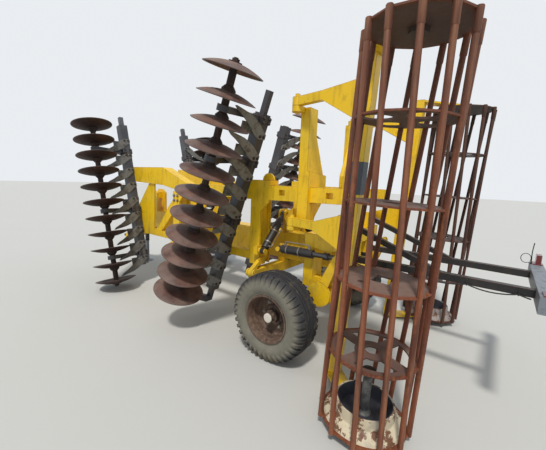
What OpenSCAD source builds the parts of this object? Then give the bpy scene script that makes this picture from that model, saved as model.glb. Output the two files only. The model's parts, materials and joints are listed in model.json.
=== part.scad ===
// Trailed folding disc harrow, parked with both wings folded up.
// Millimetres. Y runs forward to the hitch, X to the machine's right, Z up from the ground.
// The wheels' axle is at Y = 0. Both sides are built once for the right and mirrored.

/* [Discs and gangs] */
// Outer diameter of a disc
disc_d = 560; // [500:10:660]
// Radius of the sphere a disc is pressed to
disc_sphere_r = 640; // [560:10:900]
// Steel thickness of a disc
disc_t = 6; // [4:1:8]
// Distance between neighbouring discs along the axle
disc_pitch = 240; // [220:5:260]
// Discs on each gang
discs_per_gang = 11; // [9:1:12]
// Radius of the spool flange that clamps a disc
spool_flange_r = 68; // [50:1:75]
// Radius of the journal a bearing runs on
journal_r = 36; // [30:1:45]
// Radius of the gang axle
gang_axle_r = 20; // [16:1:25]
// Lean of a rear gang from upright, top to the rear
rear_lean = 20; // [10:0.5:24]
// Lean of the right rear gang from upright, top to the rear
rear_lean_right = 16; // [10:0.5:24]
// How much further forward the right rear gang stands
rear_shift = 440; // [0:10:500]
// Lean of a front gang from upright, top to the front
front_lean = 14.5; // [10:0.5:24]
// Rear gang axle, distance from the centre plane
rear_gang_x = 1160; // [1100:5:1200]
// Rear gang, Y of its lowest disc
rear_gang_y = 1208; // [1100:2:1300]
// Rear gang, Z of its lowest disc
rear_gang_z = 443; // [400:1:500]
// Front gang axle, distance from the centre plane
front_gang_x = 1075; // [1050:5:1150]
// Front gang, Y of its lowest disc
front_gang_y = 2902; // [2800:2:3000]
// Front gang, Z of its lowest disc
front_gang_z = 162; // [150:1:250]

/* [Gang beams, hangers and scrapers] */
// Side of the square gang beam
gang_beam = 120; // [100:5:140]
// Gang beam centre, distance from the centre plane
gang_beam_x = 610; // [590:5:640]
// Width of a hanger arm along the gang
hanger_w = 60; // [40:5:80]
// Side of the square tube at the ends of a gang beam
end_tube = 60; // [50:5:70]
// Outer radius of a gang bearing
bearing_r = 68; // [60:1:80]
// Thickness of a scraper blade
scraper_t = 14; // [8:1:16]
// Width of a scraper's holder plate
scraper_w = 115; // [80:5:130]

/* [Wings] */
// Wing hinge, distance from the centre plane
hinge_x = 690; // [680:1:700]
// Wing hinge height
hinge_z = 700; // [690:1:715]
// Radius of the wing hinge pin
hinge_pin_r = 25; // [20:1:30]
// Outer radius of a wing hinge eye
hinge_eye_r = 45; // [38:1:46]
// Depth of the wing's main rail across the machine
rail_w = 160; // [120:5:180]
// Y of the rear wing leg's back face
leg_rear_y = 520; // [510:1:540]
// Y of the front wing leg's back face
leg_front_y = 2040; // [1990:5:2100]
// Length of a wing leg along the machine
leg_len = 150; // [120:5:180]

/* [Rollers] */
// Radius of the circle the roller bars stand on
roller_r = 312; // [290:1:320]
// Bars round a roller
roller_bars = 12; // [8:1:14]
// Diameter of a roller bar
roller_bar_d = 36; // [30:1:55]
// Angle a slanting roller bar goes round from the lowest plate to the top one
roller_twist = 25; // [0:1:30]
// Distance between roller plates
roller_plate_pitch = 518; // [480:2:540]
// Plates in a roller
roller_plates = 6; // [4:1:7]
// Thickness of a roller plate
roller_plate_t = 12; // [8:1:16]
// Lean of a roller from upright, top to the rear
roller_lean = 2.7; // [0:0.1:5]
// Roller axle, distance from the centre plane
roller_x = 1190; // [1150:5:1210]
// Roller, Y of its lowest plate
roller_y = -1038; // [-1100:2:-1000]
// Roller, Z of its lowest plate
roller_z = 76; // [70:1:100]
// Side of the square roller beam
roller_beam = 110; // [90:5:130]
// Roller arm hinge, distance from the centre plane
roller_hinge_x = 652; // [640:1:670]
// Roller arm hinge, Y
roller_hinge_y = 20; // [0:1:40]

/* [Wheels and lift axle] */
// Outer radius of a tyre over its lugs
tyre_r = 434; // [420:1:450]
// Width of a tyre
tyre_w = 340; // [300:5:350]
// Shoulder lugs round each side of a tyre
tyre_lugs = 28; // [20:2:36]
// Wheel centre, distance from the centre plane
wheel_x = 915; // [905:1:930]
// Radius of the rim's bead seat
rim_r = 222; // [190:1:230]
// Lift axle tube, Y
lift_y = -360; // [-400:5:-340]
// Lift axle tube, Z
lift_z = 680; // [650:5:700]
// Radius of the lift axle tube
lift_tube_r = 90; // [70:1:100]

/* [Chassis and drawbar] */
// Width of the main beam
main_w = 220; // [180:10:230]
// Lower face of the main beam
main_z0 = 775; // [770:5:800]
// Upper face of the main beam
main_z1 = 1110; // [1080:5:1115]
// Y of the main beam's rear end
main_y0 = -440; // [-460:5:-430]
// Y of the main beam's front end
main_y1 = 3330; // [3200:10:3400]
// Y of the hitch eye
hitch_y = 4640; // [4500:10:4800]
// Z of the hitch eye
hitch_z = 480; // [420:5:560]
// Radius of the hitch eye's bore
hitch_bore_r = 20; // [16:0.5:26]
// Y of the parking jack
jack_y = 4080; // [3900:10:4300]
// Jack, distance to the right of the centre plane
jack_x = 135; // [125:5:160]

/* [Light bar] */
// Distance of a light bar tube from the centre plane
light_tube_x = 325; // [300:5:340]
// Side of a light bar tube
light_tube = 60; // [50:5:70]
// Height of the light bar tubes
light_z = 1000; // [980:5:1020]
// Y of the light bar's cross beam
light_y = -1985; // [-2050:5:-1900]
// Half length of the cross beam
light_half = 620; // [560:10:700]

/* [Hidden] */
$fn = 48;
// Radial clearance of running fits
run_c = 0.1;
rim_z = sqrt(disc_sphere_r * disc_sphere_r - disc_d * disc_d / 4);
dish_radii = [disc_d / 2, 235, 190, 145, 100, spool_flange_r + 2];
spool_bore_r = gang_axle_r + 0.3;
dish_h = sqrt(disc_sphere_r * disc_sphere_r - pow(spool_flange_r + 2, 2)) - rim_z;
main_half = main_w / 2;
rail_x1 = gang_beam_x - gang_beam / 2;
rail_x0 = rail_x1 - rail_w;
// Main rail outline, seen from the side, Y and Z
rail_outline = [
    [-560, 1545], [-560, 1690], [400, 1690], [400, 1745], [745, 1745], [745, 1655],
    [1880, 1655], [2450, 1872], [3385, 1872], [3385, 1640], [2450, 1610], [1880, 1520],
    [745, 1520]
];
// Gang rows: x, y, z of the lowest disc, lean, dish side, beam start and end, its end tubes' ends, hanger gaps
left_rear_gang = [
    rear_gang_x, rear_gang_y, rear_gang_z, rear_lean, 1, -130, 2130, -325, 2365, [0, 3, 6, 8]
];
right_rear_gang = [
    rear_gang_x, rear_gang_y + rear_shift, rear_gang_z - 18, rear_lean_right, 1, -130, 2200, -300, 2210, [0, 3, 6, 8]
];
front_gang = [
    front_gang_x, front_gang_y, front_gang_z, -front_lean, -1, 145, 2450, 130, 2590, [1, 4, 8]
];
// Length of the sleeve below the lowest disc of a rear gang, for its lowest bearing
tail_len = 170;
// Wing hinge places: Y of the leg's back face, Y of the knuckle's back face
hinge_rows = [[leg_rear_y, leg_rear_y - 70], [leg_front_y, leg_front_y + 20]];
knuckle_len = 110;
knuckle_t = 26;
origin_y = (hitch_y + 52 + light_y - 50) / 2;
roller_len = roller_plate_pitch * (roller_plates - 1);
roller_bar_slant = atan(2 * roller_r * sin(roller_twist / 2) / roller_len);
// Roller frame beam, from the roller's axle
roller_beam_dx = -375;
roller_beam_dy = 414;
// Roller arms: lower face of the hinge eye, its height, flare up and down at the beam
roller_arms = [[1300, 80, 110, 150], [2462, 80, 20, 230]];
// Fold cylinders: plane Y, foot on the wing, rod's pin on the chassis
fold_y = 450;
fold_foot_x = 568;
fold_foot_z = 942;
fold_top_x = 187;
fold_top_z = 1352;
fold_pin_r = 20;
fold_bore_r = 38;
fold_rod_r = 24;
fold_len = sqrt(pow(fold_foot_x - fold_top_x, 2) + pow(fold_foot_z - fold_top_z, 2));
// Lift cylinders: plane X, pin on the chassis, rod eye on the crank
lift_cyl_x = 665;
lift_base_y = 150;
lift_base_z = 1040;
lift_eye_y = -520;
lift_eye_z = 1055;
lift_len = sqrt(pow(lift_base_y - lift_eye_y, 2) + pow(lift_base_z - lift_eye_z, 2));

yellow = [0.85, 0.66, 0.05];
dark = [0.22, 0.22, 0.23];
rust = [0.50, 0.27, 0.17];
steel = [0.42, 0.34, 0.30];
black = [0.08, 0.08, 0.09];
zinc = [0.55, 0.58, 0.62];

// Right side as drawn, left side mirrored
module side(s) {
    if (s < 0) mirror([1, 0, 0]) children();
    else children();
}

// Box from two opposite corners
module box(a, b) {
    translate(a) cube(b - a);
}

// Round bar along X
module bar_x(x0, x1, y, z, r) {
    translate([x0, y, z]) rotate([0, 90, 0]) cylinder(h = x1 - x0, r = r);
}

// Round bar along Y
module bar_y(y0, y1, x, z, r) {
    translate([x, y0, z]) rotate([-90, 0, 0]) cylinder(h = y1 - y0, r = r);
}

// Place children in a gang's own frame: origin at its lowest disc, Z along its axle
module on_gang(g) {
    translate([g[0], g[1], g[2]]) rotate([g[3], 0, 0]) children();
}

// Height of the dish's lower surface over the rim at radius r
function dish(r) = sqrt(disc_sphere_r * disc_sphere_r - r * r) - rim_z;

// One dished disc, rim at Z = 0, dome up
module disc() {
    n = len(dish_radii);
    rotate_extrude()
        polygon(concat(
            [for (i = [0:n - 1]) [dish_radii[i], dish(dish_radii[i])]],
            [[0, dish_h], [0, dish_h + disc_t]],
            [for (i = [n - 1:-1:0]) [dish_radii[i], dish(dish_radii[i]) + disc_t]]
        ));
}

// Room for the lowest bearing: rear gangs carry one below their lowest disc
function tail(g) = g[4] > 0 ? tail_len : 0;

// Rear gang row of side s
function rear_gang(s) = s > 0 ? right_rear_gang : left_rear_gang;

// Sleeve of length l below the lowest disc, plain where its bearing runs
module tail_sleeve(l) {
    rotate_extrude()
        polygon([
            [spool_bore_r, 0], [spool_flange_r, 0], [spool_flange_r, 4], [journal_r, 10], [journal_r, l - 60],
            [journal_r + 8, l - 44], [spool_flange_r, l - 14], [spool_flange_r, l], [spool_bore_r, l]
        ]);
}

// All discs of a gang on their axle
module gang_discs(g) {
    d = g[4];
    c = d > 0 ? dish_h : -dish_h - disc_t;
    on_gang(g) {
        for (i = [0:discs_per_gang - 1])
            translate([0, 0, i * disc_pitch]) scale_z(d) disc();
        translate([0, 0, c - 44 - tail(g)])
            cylinder(h = (discs_per_gang - 1) * disc_pitch + disc_t + 88 + tail(g), r = gang_axle_r);
    }
}

// Turns a piece upside down when d is below zero
module scale_z(d) {
    if (d < 0) mirror([0, 0, 1]) children();
    else children();
}

// Spools between the discs, with an end washer and nut at each end
module gang_spools(g) {
    d = g[4];
    c = d > 0 ? dish_h : -dish_h - disc_t;
    l = disc_pitch - disc_t;
    on_gang(g) {
        for (i = [0:discs_per_gang - 2])
            translate([0, 0, i * disc_pitch + c + disc_t]) spool(l);
        if (tail(g) > 0)
            translate([0, 0, c - tail(g)]) tail_sleeve(tail(g));
        translate([0, 0, c - tail(g) - 34]) end_nut(34);
        translate([0, 0, c + (discs_per_gang - 1) * disc_pitch + disc_t + 34]) mirror([0, 0, 1]) end_nut(34);
    }
}

// One spool of length l
module spool(l) {
    rotate_extrude()
        polygon([
            [spool_bore_r, 0], [spool_flange_r, 0], [spool_flange_r, 14], [journal_r + 8, 44],
            [journal_r, 50], [journal_r, l - 50], [journal_r + 8, l - 44], [spool_flange_r, l - 14],
            [spool_flange_r, l], [spool_bore_r, l]
        ]);
}

// Washer against the end disc and a nut outside it
module end_nut(h) {
    difference() {
        union() {
            translate([0, 0, h - 10]) cylinder(h = 10, r = spool_flange_r - 6);
            cylinder(h = h - 10, r = 36, $fn = 6);
        }
        translate([0, 0, -1]) cylinder(h = h + 2, r = spool_bore_r);
    }
}

// Gang beam with a thinner tube out of each end
module gang_beam_bar(g) {
    d = g[0] - gang_beam_x;
    h = gang_beam / 2;
    e = end_tube / 2;
    on_gang(g) translate([-d, 0, 0]) {
        box([-h, -h, g[5]], [h, h, g[6]]);
        box([-e, -e, g[7]], [e, e, g[8]]);
    }
}

// Height of hanger i along its gang: the lowest of a rear gang hangs below the discs
function hanger_z(g, i) = i == 0 && g[4] > 0 ? -88 : i * disc_pitch + (g[4] > 0 ? 150 : 90) - hanger_w / 2;

// Hanger arms with their bearing housings and the clamps round the beam
module gang_hangers(g) {
    d = g[0] - gang_beam_x;
    h = gang_beam / 2;
    e = end_tube / 2;
    on_gang(g)
        for (i = g[9])
            difference() {
                union() {
                    translate([0, 0, hanger_z(g, i)]) cylinder(h = hanger_w, r = bearing_r);
                    if (i == 0 && g[4] > 0)
                        translate([0, 30, 0]) rotate([90, 0, 0]) linear_extrude(60)
                            polygon([[-44, -80], [-44, -28], [-250, -110], [-d + e, g[7] + 70], [-d + e, g[7]],
                                [-d + e + 40, g[7]]]);
                    else
                        translate([0, 0, hanger_z(g, i)]) {
                            linear_extrude(hanger_w)
                                polygon([[-20, -62], [-60, 52], [-240, 84], [-400, 66], [-d + h + 14, h - 6],
                                    [-d + h + 14, -40], [-400, -30], [-240, -16]]);
                            difference() {
                                box([-d - h - 14, -h - 14, -6], [-d + h + 14, h + 14, hanger_w + 6]);
                                box([-d - h, -h, -30], [-d + h, h, hanger_w + 30]);
                            }
                        }
                }
                translate([0, 0, hanger_z(g, i) - 1]) cylinder(h = hanger_w + 2, r = journal_r + run_c);
            }
}

// Crescent blade of a scraper of reach r, from the beam to the hollow side of its disc
module scraper_blade(r) {
    outline = [
        [1, -290], [1, -232], [0.89, -190], [0.77, -136], [0.62, -92], [0.48, -62], [0.31, -42],
        [0.15, -24], [0.11, -30], [0.18, -62], [0.33, -104], [0.49, -160], [0.62, -216], [0.7, -256], [0.82, -290]
    ];
    polygon([for (p = outline) [-r * p[0], p[1]]]);
}

// One scraper to each disc: a blade on the beam's back and a holder plate on its outer face
module gang_scrapers(g) {
    d = g[0] - gang_beam_x;
    h = gang_beam / 2;
    on_gang(g)
        for (i = [0:discs_per_gang - 1]) {
            z = i * disc_pitch;
            lo = g[4] > 0 ? z - 290 : z + 190;
            hi = g[4] > 0 ? z - 190 : z + 290;
            if (lo > g[5] && hi < g[6])
                translate([0, 0, z]) scale_z(g[4]) {
                    translate([0, -h, 0]) rotate([90, 0, 0]) linear_extrude(scraper_t) scraper_blade(d + h);
                    box([-d + h, 8, -150 - scraper_w], [-292, 18, -150]);
                }
        }
}

// Both gang beams of a wing
module gang_beams(s) {
    color(dark) side(s) {
        gang_beam_bar(rear_gang(s));
        gang_beam_bar(front_gang);
    }
}

// All hangers of a wing
module hangers(s) {
    color(dark) side(s) {
        gang_hangers(rear_gang(s));
        gang_hangers(front_gang);
    }
}

// All scrapers of a wing
module scrapers(s) {
    color(zinc) side(s) {
        gang_scrapers(rear_gang(s));
        gang_scrapers(front_gang);
    }
}

// Discs and axle of gang g on side s
module discs(s, g) {
    color(steel) side(s) gang_discs(g);
}

// Spools of gang g on side s
module spools(s, g) {
    color(dark) side(s) gang_spools(g);
}

// Fore and aft rails, legs and hinge eyes of a wing
module wing_frame(s) {
    color(yellow) side(s) difference() {
        union() {
            // Main rail
            translate([rail_x0, 0, 0]) rotate([90, 0, 90]) linear_extrude(rail_w) polygon(rail_outline);
            // Round lifting lug on the rail
            bar_x(rail_x0 + 60, rail_x0 + 90, 480, 1745, 78);
            // Inner rail near the hinge
            box([rail_x0 + 60, leg_rear_y, 800], [rail_x1 - 20, 3135, 900]);
            // Legs down to the hinge: a web and an outer flange that widens to the rail
            for (r = hinge_rows) {
                box([rail_x0 - 40, r[0] + 40, 760], [rail_x1 - 20, r[0] + leg_len, 1530]);
                translate([rail_x1 - 26, 0, 0]) rotate([90, 0, 90]) linear_extrude(26)
                    polygon([[r[0], 760], [r[0] + leg_len, 760], [r[0] + leg_len, 1530], [r[0] - 110, 1530],
                        [r[0] - 110, 1500], [r[0], 1390]]);
                box([rail_x0 - 40, r[0], 760], [rail_x0 - 20, r[0] + 45, 1530]);
                // Knuckle arm and eye
                y = r[1] + knuckle_t + 2;
                bar_y(y, y + knuckle_len - 2 * knuckle_t - 4, hinge_x, hinge_z, hinge_eye_r);
                translate([0, y, 0]) rotate([90, 0, 0]) mirror([0, 0, 1])
                    linear_extrude(knuckle_len - 2 * knuckle_t - 4)
                    polygon([[rail_x1 - 90, 766], [rail_x1 - 90, 850], [rail_x1, 850],
                        [hinge_x + 32, hinge_z + 32], [hinge_x - 32, hinge_z - 32], [620, 766]]);
            }
            // Front gusset and brace under the rail
            translate([rail_x1 - 40, 0, 0]) rotate([90, 0, 90]) linear_extrude(20)
                polygon([[2730, 890], [3135, 890], [3200, 1220], [2820, 1660], [2700, 1660]]);
            translate([rail_x1 - 120, 0, 0]) rotate([90, 0, 90]) linear_extrude(100)
                polygon([[2540, 880], [2660, 880], [2330, 1300], [2180, 1440], [2180, 1250]]);
            // Seat and pin for the foot of the fold cylinder
            box([480, fold_y + 50, fold_foot_z - 50], [606, leg_rear_y + 45, fold_foot_z + 50]);
            bar_y(fold_y + 26, fold_y + 52, fold_foot_x, fold_foot_z, 34);
            bar_y(fold_y - 38, fold_y + 30, fold_foot_x, fold_foot_z, fold_pin_r - run_c);
            bar_y(fold_y - 38, fold_y - 26, fold_foot_x, fold_foot_z, 30);
        }
        // Pin bores of the hinge
        for (r = hinge_rows)
            bar_y(r[1], r[1] + knuckle_len, hinge_x, hinge_z, hinge_pin_r + run_c);
        // Room at the rear knuckle arm for the fold cylinder's barrel when the wing is down
        box([rail_x1 - 100, fold_y + 20, 750], [rail_x1 + 36, fold_y + 51, 860]);
        // Openings along the rear of the rail
        for (y = [-365, 200])
            box([rail_x1 - 40, y, 1590], [rail_x1 + 1, y + 70, 1645]);
    }
}

// Cross post at the rear of a wing with its gusset, brace and roller hinge eyes
module wing_post(s) {
    x1 = rail_x1 + 40;
    color(yellow) side(s) union() {
        // Post outside the rail
        box([rail_x1, -90, 1290], [x1, 10, 2455]);
        box([rail_x1 - 110, -90, 1760], [rail_x1, 10, 2455]);
        // Wide plate across the rail and brace above it
        difference() {
            translate([0, -90, 0]) rotate([90, 0, 0]) linear_extrude(24)
                polygon([[x1, 1290], [x1, 1850], [230, 1815], [230, 1590], [430, 1385], [470, 1290]]);
            box([rail_x0, -200, 1530], [rail_x1, 0, 1690]);
        }
        translate([0, -40, 0]) rotate([90, 0, 0]) linear_extrude(50)
            polygon([[rail_x1 - 110, 2200], [rail_x1 - 290, 1830], [rail_x1 - 290, 1691], [rail_x1 - 110, 1691]]);
        // Hinge lugs
        box([rail_x1 - 20, roller_hinge_y - 50, 1255], [roller_hinge_x, roller_hinge_y + 50, roller_arms[0][0] - 1]);
        translate([roller_hinge_x, roller_hinge_y, 1255]) cylinder(h = roller_arms[0][0] - 1256, r = 50);
        box([x1, roller_hinge_y - 50, 2405], [roller_hinge_x, roller_hinge_y + 50, roller_arms[1][0] - 1]);
        translate([roller_hinge_x, roller_hinge_y, 2405]) cylinder(h = roller_arms[1][0] - 2406, r = 50);
        // Hinge pins
        for (a = roller_arms)
            translate([roller_hinge_x, roller_hinge_y, a[0] - 40]) cylinder(h = a[1] + 70, r = 24);
    }
}

// Arms, beam and end brackets that carry a roller
module roller_frame(s) {
    h = roller_beam / 2;
    color(yellow) side(s) {
        difference() {
            union() {
                on_roller() {
                    translate([roller_beam_dx, roller_beam_dy, 0]) box([-h, -h, -52], [h, h, roller_len + 60]);
                    // End brackets
                    for (z = [-52, roller_len + 34])
                        translate([0, 0, z]) linear_extrude(20) {
                            polygon([
                                [roller_beam_dx - h, roller_beam_dy - h], [roller_beam_dx + h, roller_beam_dy + h],
                                [50, 50], [-50, -50]
                            ]);
                            circle(75);
                        }
                }
                // Flared arms from the post to the beam
                for (a = roller_arms) {
                    translate([roller_hinge_x, roller_hinge_y, a[0]]) cylinder(h = a[1], r = 50);
                    roller_arm(a);
                }
            }
            for (a = roller_arms)
                translate([roller_hinge_x, roller_hinge_y, a[0] - 1]) cylinder(h = a[1] + 2, r = 24 + run_c);
            on_roller() for (z = [-53, roller_len + 33])
                translate([0, 0, z]) cylinder(h = 22, r = 30 + run_c);
        }
    }
}

// One flared arm, a plate 60 thick standing on edge
module roller_arm(a) {
    bx = roller_x + roller_beam_dx;
    by = roller_y + roller_beam_dy - (a[0] + a[1] / 2 - roller_z) * tan(roller_lean);
    dx = bx - roller_hinge_x;
    dy = by - roller_hinge_y;
    l = sqrt(dx * dx + dy * dy) - roller_beam / 2 + 6;
    translate([roller_hinge_x, roller_hinge_y, 0])
        rotate([0, 0, atan2(dy, dx)])
        translate([0, 30, 0]) rotate([90, 0, 0]) linear_extrude(60)
        polygon([
            [30, a[0]], [30, a[0] + a[1]], [l * 0.45, a[0] + a[1]], [l, a[0] + a[1] + a[2]],
            [l, a[0] - a[3]], [l * 0.45, a[0]]
        ]);
}

// Place children in a roller's own frame: origin at its lowest plate, Z along its axle
module on_roller() {
    translate([roller_x, roller_y, roller_z]) rotate([roller_lean, 0, 0]) children();
}

// Bars and plates of a roller: both rollers slant the same way round, so one is no mirror image
module roller_cage(s) {
    twist = -s * roller_twist;
    color(rust) side(s) on_roller() {
        for (i = [0:roller_bars - 1])
            rotate([0, 0, (i + 0.5) * 360 / roller_bars - twist / 2])
                translate([roller_r * cos(twist / 2), 0, roller_len / 2]) rotate([s * roller_bar_slant, 0, 0])
                    cylinder(h = (roller_len + roller_plate_t + 8) / cos(roller_bar_slant), r = roller_bar_d / 2, center = true);
        for (k = [0:roller_plates - 1])
            translate([0, 0, k * roller_plate_pitch - roller_plate_t / 2]) linear_extrude(roller_plate_t)
                difference() {
                    rotate(180 / roller_bars - twist * (1 - k / (roller_plates - 1)))
                        circle(r = roller_r, $fn = roller_bars);
                    plate_holes(k);
                }
    }
}

// Cut-outs of plate k, counted from the bottom
module plate_holes(k) {
    if (k == 1) {
        difference() {
            circle(245);
            circle(120);
            for (a = [20, 110]) rotate(a) square([600, 90], center = true);
        }
        circle(48);
    }
    if (k == 2) {
        square([150, 120], center = true);
        translate([150, 90]) circle(24);
    }
    if (k == 3) circle(70);
    if (k == 4) for (a = [0:90:270]) rotate(a + 45) translate([180, 0]) circle(88);
    if (k == 0 || k == 5) circle(60);
}

// Bearing drums and stub shafts at both ends of a roller
module roller_hubs(s) {
    color(zinc) side(s) on_roller() {
        rotate_extrude()
            polygon([[0, -60], [30, -60], [30, -22], [60, -22], [60, 6], [282, 6], [272, 22], [214, 60],
                [208, 132], [190, 132], [160, 48], [60, 38], [32, 60], [32, 330], [48, 334], [48, 372], [0, 372]]);
        translate([0, 0, roller_len - 40]) cylinder(h = 130, r = 30);
        translate([0, 0, roller_len - 40]) cylinder(h = 60, r = 60);
    }
}

// Tyre with slanted shoulder lugs and round ribs
module tyre(s) {
    w = tyre_w / 2;
    color(black) side(s) translate([wheel_x, 0, tyre_r]) rotate([0, 90, 0]) {
        rotate_extrude()
            polygon([
                [rim_r, -w + 60], [rim_r + 16, -w + 30], [rim_r + 80, -w + 4], [tyre_r - 130, -w],
                [tyre_r - 80, -w + 8], [tyre_r - 46, -w + 30], [tyre_r - 24, -w + 74], [tyre_r - 16, -40],
                [tyre_r - 16, 40], [tyre_r - 24, w - 74], [tyre_r - 46, w - 30], [tyre_r - 80, w - 8],
                [tyre_r - 130, w], [rim_r + 80, w - 4], [rim_r + 16, w - 30], [rim_r, w - 60]
            ]);
        for (z = [-46, 0, 46]) translate([0, 0, z - 13]) rotate_extrude()
            polygon([[tyre_r - 30, 0], [tyre_r, 3], [tyre_r, 23], [tyre_r - 30, 26]]);
        for (m = [0, 1], i = [0:tyre_lugs - 1])
            mirror([0, 0, m]) rotate([0, 0, (i + 0.5 * m) * 360 / tyre_lugs])
                translate([tyre_r - 92, 0, w - 56]) rotate([28, 0, 0]) translate([0, -20, -52]) cube([84, 40, 98]);
    }
}

// Deep dished rim with its hub
module wheel_rim(s) {
    w = tyre_w / 2;
    color(rust) side(s) translate([wheel_x, 0, tyre_r]) rotate([0, 90, 0])
        rotate_extrude()
            polygon([
                [rim_r, -w + 60], [rim_r + 16, -w + 28], [rim_r + 16, -w + 20], [rim_r, -w + 20],
                [rim_r - 14, -w + 60], [rim_r - 30, -40], [rim_r - 30, -24], [80, -24], [80, -50], [30 + run_c, -50],
                [30 + run_c, 60], [0, 60], [0, 96], [44, 96], [50, 60], [66, 54], [72, 14], [96, 14], [112, -6],
                [rim_r - 40, -6], [rim_r - 24, 20],
                [rim_r - 14, w - 60], [rim_r, w - 20], [rim_r + 16, w - 20], [rim_r + 16, w - 28], [rim_r, w - 60]
            ]);
}

// Tube, arms, cranks and stub axles that carry the wheels
module lift_axle() {
    wheel_arm = sqrt(lift_y * lift_y + pow(tyre_r - lift_z, 2));
    color(yellow) {
        bar_x(-704, 704, lift_y, lift_z, lift_tube_r);
        for (s = [-1, 1]) side(s) {
            // End flange
            bar_x(688, 706, lift_y, lift_z, lift_tube_r + 32);
            // Wheel arm
            bar_x(640, 700, 0, tyre_r, 60);
            translate([645, lift_y, lift_z]) rotate([atan2(tyre_r - lift_z, -lift_y), 0, 0])
                box([0, 0, -50], [50, wheel_arm, 50]);
            // Stub axle
            bar_x(690, wheel_x + 50, 0, tyre_r, 30);
            // Cranks for the lift cylinder
            for (x = [lift_cyl_x - 37, lift_cyl_x + 25])
                translate([x, 0, 0]) rotate([90, 0, 90]) linear_extrude(12)
                    polygon([[lift_y - 60, lift_z], [lift_y + 60, lift_z], [lift_eye_y + 38, lift_eye_z + 10],
                        [lift_eye_y + 16, lift_eye_z + 36], [lift_eye_y - 20, lift_eye_z + 36],
                        [lift_eye_y - 38, lift_eye_z + 10]]);
        }
    }
}

// Main beam, outriggers, legs and brackets
module chassis() {
    color(yellow) difference() {
        union() {
            box([-main_half, main_y0, main_z0], [main_half, main_y1, main_z1]);
            for (s = [-1, 1]) side(s) {
                // Outriggers to the wing hinges
                for (r = hinge_rows) {
                    box([0, r[1] + 4, 620], [585, r[1] + knuckle_len - 4, 735]);
                    box([40, r[1] + 4, 700], [main_half + 10, r[1] + knuckle_len - 4, main_z0 + 20]);
                    for (k = [0, knuckle_len - knuckle_t]) {
                        bar_y(r[1] + k, r[1] + k + knuckle_t, hinge_x, hinge_z, hinge_eye_r);
                        box([560, r[1] + k, 640], [hinge_x, r[1] + k + knuckle_t, 735]);
                    }
                    bar_y(r[1] - 8, r[1] + knuckle_len + 8, hinge_x, hinge_z, hinge_pin_r);
                }
                // Rear cross beam, its legs and the bearings of the lift axle
                box([0, -436, 1090], [620, -285, 1240]);
                box([437, -300, 1100], [620, -127, 1240]);
                box([437, -237, 700], [620, -127, 1240]);
                box([520, lift_y - 60, lift_z - 60], [620, -200, lift_z + 130]);
                bar_x(520, 620, lift_y, lift_z, lift_tube_r + 36);
                // Lug for the lift cylinder
                box([600, -140, lift_base_z - 56], [615, lift_base_y + 36, lift_base_z + 44]);
                bar_x(610, lift_cyl_x - 26, lift_base_y, lift_base_z, 30);
                bar_x(lift_cyl_x - 30, lift_cyl_x + 40, lift_base_y, lift_base_z, 16 - run_c);
                bar_x(lift_cyl_x + 28, lift_cyl_x + 40, lift_base_y, lift_base_z, 26);
                // Brackets for the rods of the fold cylinders
                for (y = [fold_y - 28, fold_y + 50])
                    translate([0, y, 0]) rotate([90, 0, 0]) linear_extrude(22)
                        polygon([[60, 1100], [120, 1100], [fold_top_x + 10, fold_top_z - 120],
                            [fold_top_x + 42, fold_top_z - 70], [fold_top_x + 42, fold_top_z + 20],
                            [fold_top_x + 16, fold_top_z + 48], [60, fold_top_z + 48]]);
                // Brackets under the cross beam for the light bar's tubes
                box([light_tube_x - 50, lift_y - 75, 940], [light_tube_x + 50, lift_y + 40, 1100]);
                // Tower for the light bar
                box([light_tube_x - 60, lift_y - 75, 1200], [light_tube_x + 20, lift_y + 20, 1420]);
            }
        }
        for (s = [-1, 1]) side(s) {
            bar_x(510, 630, lift_y, lift_z, lift_tube_r + run_c);
            bar_y(fold_y - 60, fold_y + 60, fold_top_x, fold_top_z, fold_pin_r);
        }
    }
}

// Drawbar from the main beam down to the hitch
module drawbar() {
    color(yellow) union() {
        translate([-80, 0, 0]) rotate([90, 0, 90]) linear_extrude(160)
            polygon([[main_y1, main_z0 + 25], [main_y1, main_z1 - 30], [main_y1 + 150, main_z1 - 30],
                [hitch_y - 160, hitch_z + 70],
                [hitch_y - 100, hitch_z + 50], [hitch_y - 100, hitch_z - 50], [hitch_y - 240, hitch_z - 50]]);
        // Tall side plates where the drawbar meets the main beam
        for (x = [-100, 76]) translate([x, 0, 0]) rotate([90, 0, 90]) linear_extrude(24)
            polygon([[main_y1, main_z0 + 60], [main_y1, 1440], [main_y1 + 90, 1500], [main_y1 + 230, 1500],
                [main_y1 + 290, 1420], [main_y1 + 560, 900], [main_y1 + 560, 800], [main_y1 + 300, 700],
                [main_y1 + 160, 740]]);
        box([-80, main_y1 + 110, 1330], [80, main_y1 + 200, 1440]);
        // Seat for the jack
        box([80, jack_y - 50, 560], [jack_x - 40, jack_y + 50, 720]);
    }
}

// Ring eye bolted to the drawbar
module hitch_eye() {
    color(dark) difference() {
        union() {
            box([-60, hitch_y - 100, hitch_z - 50], [60, hitch_y - 80, hitch_z + 50]);
            box([-40, hitch_y - 80, hitch_z - 20], [40, hitch_y - 40, hitch_z + 20]);
            translate([0, hitch_y, hitch_z - 20]) cylinder(h = 40, r = 52);
        }
        translate([0, hitch_y, hitch_z - 21]) cylinder(h = 42, r = hitch_bore_r);
    }
}

// Outer tube of the parking jack
module jack_tube() {
    color(dark) difference() {
        union() {
            translate([jack_x, jack_y, 420]) cylinder(h = 520, r = 40);
            translate([jack_x, jack_y, 940]) cylinder(h = 30, r = 46);
        }
        translate([jack_x, jack_y, 419]) cylinder(h = 480, r = 32 + run_c);
    }
}

// Inner leg and foot plate of the jack
module jack_foot() {
    color(zinc) {
        translate([jack_x, jack_y, 10]) cylinder(h = 590, r = 32);
        translate([jack_x, jack_y, 0]) cylinder(h = 12, r = 110);
    }
}

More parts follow.
